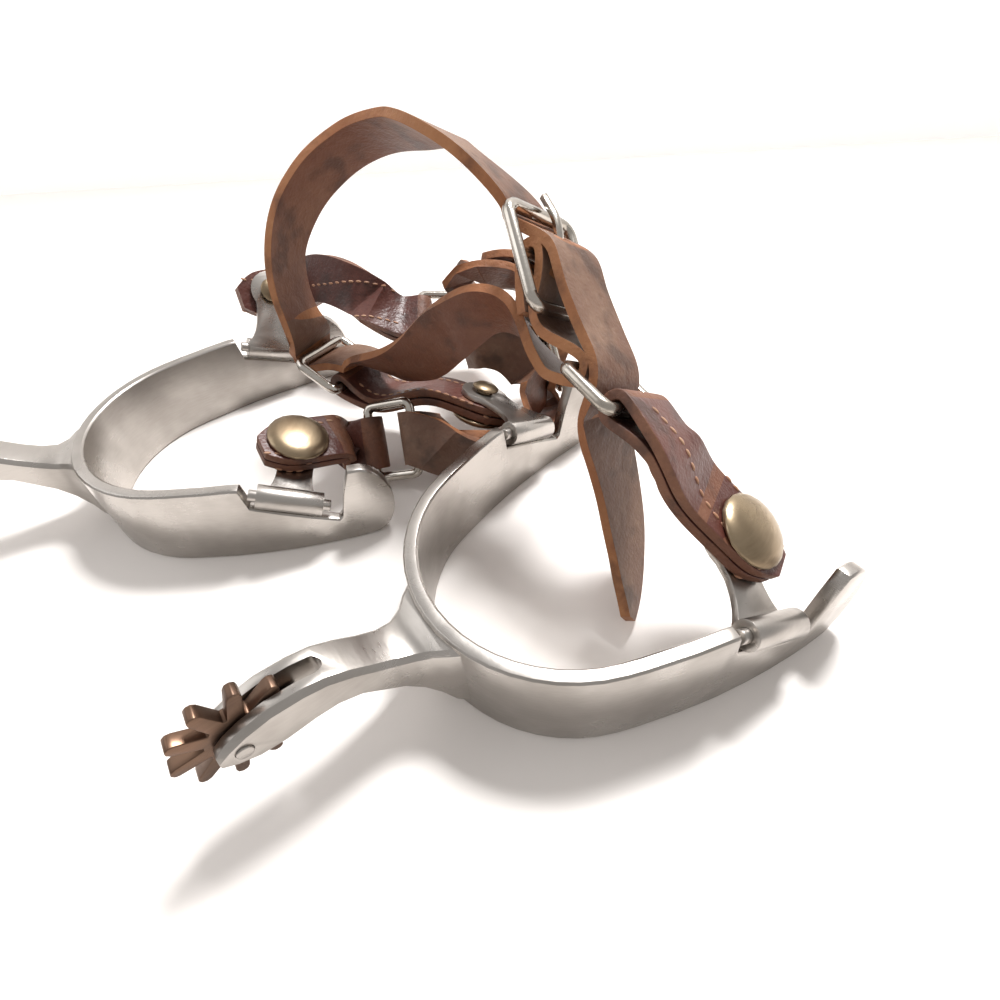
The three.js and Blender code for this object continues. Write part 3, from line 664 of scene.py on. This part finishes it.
@dataclass(frozen=True)
class Spur:
    """One spur: band, shank, rowel, two hangers with their straps, and the laced main strap."""

    prefix: str
    yaw_deg: float = 0.0
    shift_mm: tuple[float, float] = (0.0, 0.0)

    def metal(self) -> list[tuple[MetalPiece, str]]:
        """Lists the spur's metal.

        Returns:
            Each metal piece with the body that it rides on.
        """
        p = self.prefix
        place = {"yaw_deg": self.yaw_deg, "shift_mm": self.shift_mm}
        pieces = [
            (MetalPiece(f"{p}_heel_band", "steel", STEEL, 0.35, 34.0), "pair"),
            (ShankPiece(f"{p}_shank", "steel", STEEL, 0.9, 30.0, **place), "pair"),
            (MetalPiece(f"{p}_rowel_pin", "steel", STEEL, 0.25), "pair"),
            (MetalPiece(f"{p}_rowel", "bronze", BRONZE, 0.55), f"{p}_rowel_body"),
            (MetalPiece(f"{p}_buckle_frame", "bright_wire", NICKEL, 0.05, 60.0), "pair"),
            (MetalPiece(f"{p}_buckle_tongue", "bright_wire", NICKEL, 0.05, 60.0), f"{p}_tongue_body"),
        ]
        for arm in ARMS:
            body = f"{p}_{arm}_side"
            pieces += [
                (MetalPiece(f"{p}_{arm}_hinge_pin", "steel", STEEL, 0.2), "pair"),
                (MetalPiece(f"{p}_{arm}_hanger", "steel", STEEL, 0.25), body),
                (MetalPiece(f"{p}_{arm}_button", "worn_brass", BRASS, 0.3), body),
                (MetalPiece(f"{p}_{arm}_button_cap", "worn_brass", BRASS, 0.2), body),
                (MetalPiece(f"{p}_{arm}_ring", "bright_wire", NICKEL, 0.05, 60.0), body),
            ]
        return pieces

    def build(self, frame: dict, made: dict, rows: dict[str, StitchRow]) -> None:
        """Builds every piece of the spur.

        Args:
            made: Materials by the names of their finishes.
            rows: Stitch rows by spur and arm.
        """
        for piece, body in self.metal():
            piece.build(frame, body, made[piece.finish.name])
        sides = [made[f.name] for f in (OUTER, INNER, EDGE)]
        StrapPiece(f"{self.prefix}_main_strap", "leather").build(frame, "pair", sides)
        doubled = [made[f.name] for f in (DARK, DARK, DARK_EDGE)]
        for arm in ARMS:
            key = f"{self.prefix}_{arm}"
            strap = StrapPiece(f"{key}_hanger_strap", "dark_leather").build(frame, f"{key}_side", doubled)
            rows[key].build(strap, f"{key}_side", made[THREAD.name])


# ---------------------------------------------------------------- room, light and camera
@dataclass(frozen=True)
class Viewpoint:
    """Where the camera stands and how it is turned."""

    place: tuple[float, float, float] = (-0.01937, -0.06544, 0.12515)
    heading: tuple[float, float] = (0.508, 0.861)
    pitch_deg: float = 46.09
    roll_deg: float = -6.10
    lens_mm: float = 20.64
    sensor_mm: float = 36.0
    nearest: float = 0.005

    def build(self) -> None:
        """Adds the camera and makes it the scene's own."""
        data = bpy.data.cameras.new("camera")
        data.lens = self.lens_mm
        data.sensor_width = self.sensor_mm
        data.clip_start = self.nearest
        camera = bpy.data.objects.new("camera", data)
        bpy.context.scene.collection.objects.link(camera)
        pitch = math.radians(self.pitch_deg)
        flat = Vector((*self.heading, 0.0)).normalized()
        forward = flat * math.cos(pitch) - Vector((0, 0, 1)) * math.sin(pitch)
        right = forward.cross(Vector((0, 0, 1))).normalized()
        above = right.cross(forward)
        roll = math.radians(self.roll_deg)
        turned = right * math.cos(roll) + above * math.sin(roll)
        rise = above * math.cos(roll) - right * math.sin(roll)
        matrix = Matrix((turned, rise, -forward)).transposed().to_4x4()
        matrix.translation = Vector(self.place)
        camera.matrix_world = matrix
        bpy.context.scene.camera = camera


@dataclass(frozen=True)
class Lamp:
    """A square soft light aimed at the pair; place and side are in metres, power in watts."""

    name: str
    place: tuple[float, float, float]
    side: float
    power: float
    aim: tuple[float, float, float] = (0.02, 0.05, 0.02)

    def build(self) -> None:
        """Adds the light and turns it to its aim."""
        data = bpy.data.lights.new(self.name, "AREA")
        data.size = self.side
        data.energy = self.power
        light = bpy.data.objects.new(self.name, data)
        bpy.context.scene.collection.objects.link(light)
        ray = Vector(self.aim) - Vector(self.place)
        turn = ray.to_track_quat("-Z", "Y").to_matrix().to_4x4()
        turn.translation = Vector(self.place)
        light.matrix_world = turn


@dataclass(frozen=True)
class Room:
    """A pale floor, a low white wall, a soft sky and two lamps."""

    size: float = 6.0
    floor: Colour = (0.93, 0.885, 0.85)
    floor_cloud_scale: float = 9.0
    floor_cloud_tone: float = 0.97
    floor_rough: float = 0.6
    floor_cloud_rough: float = 0.1
    wall_place: tuple[float, float] = (0.205, 0.315)
    wall_heading: tuple[float, float] = (0.508, 0.861)
    wall_turn_deg: float = 8.5
    wall_height: float = 0.5
    wall_length: float = 4.0
    wall_tones: tuple[Colour, Colour] = ((0.95, 0.94, 0.93), (0.9, 0.89, 0.88))
    wall_cloud_scale: float = 4.0
    wall_rough: float = 0.7
    wall_glow: float = 0.3
    sky: Colour = (1.0, 0.975, 0.955)
    sky_strength: float = 0.54
    lamps: tuple[Lamp, ...] = (
        Lamp("key", (0.42, 0.2, 0.75), 0.2, 11.5),
        Lamp("fill", (-0.5, 0.5, 0.6), 0.6, 1.5),
    )

    def build(self) -> None:
        """Adds the floor, the sky and the lights."""
        bpy.ops.mesh.primitive_plane_add(size=self.size, location=(0, 0, 0))
        floor = bpy.context.active_object
        floor.name = "floor"
        g = Graph("pale_floor")
        cloud = g.noise(self.floor_cloud_scale)
        darker = tuple(c * self.floor_cloud_tone for c in self.floor)
        rough = self.floor_rough + cloud * self.floor_cloud_rough
        tone = g.blend(cloud, self.floor, darker)
        floor.data.materials.append(g.finish(Base_Color=tone, Roughness=rough))
        self.wall()
        world = bpy.data.worlds.new("sky")
        bpy.context.scene.world = world
        world.use_nodes = True
        back = world.node_tree.nodes["Background"]
        back.inputs["Color"].default_value = (*self.sky, 1.0)
        back.inputs["Strength"].default_value = self.sky_strength
        bpy.context.scene.view_settings.view_transform = "Standard"
        for lamp in self.lamps:
            lamp.build()

    def wall(self) -> bpy.types.Object:
        """Adds a low white wall behind the pair, square to the viewpoint but for a small turn."""
        bpy.ops.mesh.primitive_plane_add(size=1.0)
        wall = bpy.context.active_object
        wall.name = "wall"
        turn = math.atan2(self.wall_heading[1], self.wall_heading[0]) - math.radians(self.wall_turn_deg)
        place = Matrix.Translation((*self.wall_place, 0.0)) @ Matrix.Rotation(turn, 4, "Z")
        stretch = Matrix.Diagonal((self.wall_height, self.wall_length, 1.0, 1.0))
        upright = Matrix.Rotation(math.radians(-90), 4, "Y") @ stretch
        wall.data.transform(place @ Matrix.Translation((0, 0, self.wall_height / 2)) @ upright)
        g = Graph("white_wall")
        tone = g.blend(g.noise(self.wall_cloud_scale), *self.wall_tones)
        wall.data.materials.append(g.finish(
            Base_Color=tone,
            Roughness=self.wall_rough,
            Emission_Color=tone,
            Emission_Strength=self.wall_glow,
        ))
        return wall


STITCHES = {
    "near_outer": StitchRow("near_outer", (0.9, 0.2, -0.35), (0.85, 0.05, -0.52)),
    "near_inner": StitchRow("near_inner", (0.85, 0.5, -0.1), (0.85, 0.5, -0.15)),
    "far_outer": StitchRow("far_outer", (0.3, 0.9, -0.2), (-0.28, -0.57, -0.77), last=0.5),
    "far_inner": StitchRow("far_inner", (0.1, 0.5, 0.85), (0.5, 0.73, 0.46)),
}


def main() -> None:
    """Builds both spurs, the room and the camera."""
    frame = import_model()
    finishes = (STEEL, NICKEL, BRASS, BRONZE, OUTER, INNER, EDGE, DARK, DARK_EDGE, THREAD)
    made = {finish.name: finish.build() for finish in finishes}
    for spur in (Spur("near"), Spur("far", -16.0, (-53.4, 115.0))):
        spur.build(frame, made, STITCHES)
    Room().build()
    Viewpoint().build()


if __name__ == "__main__":
    main()
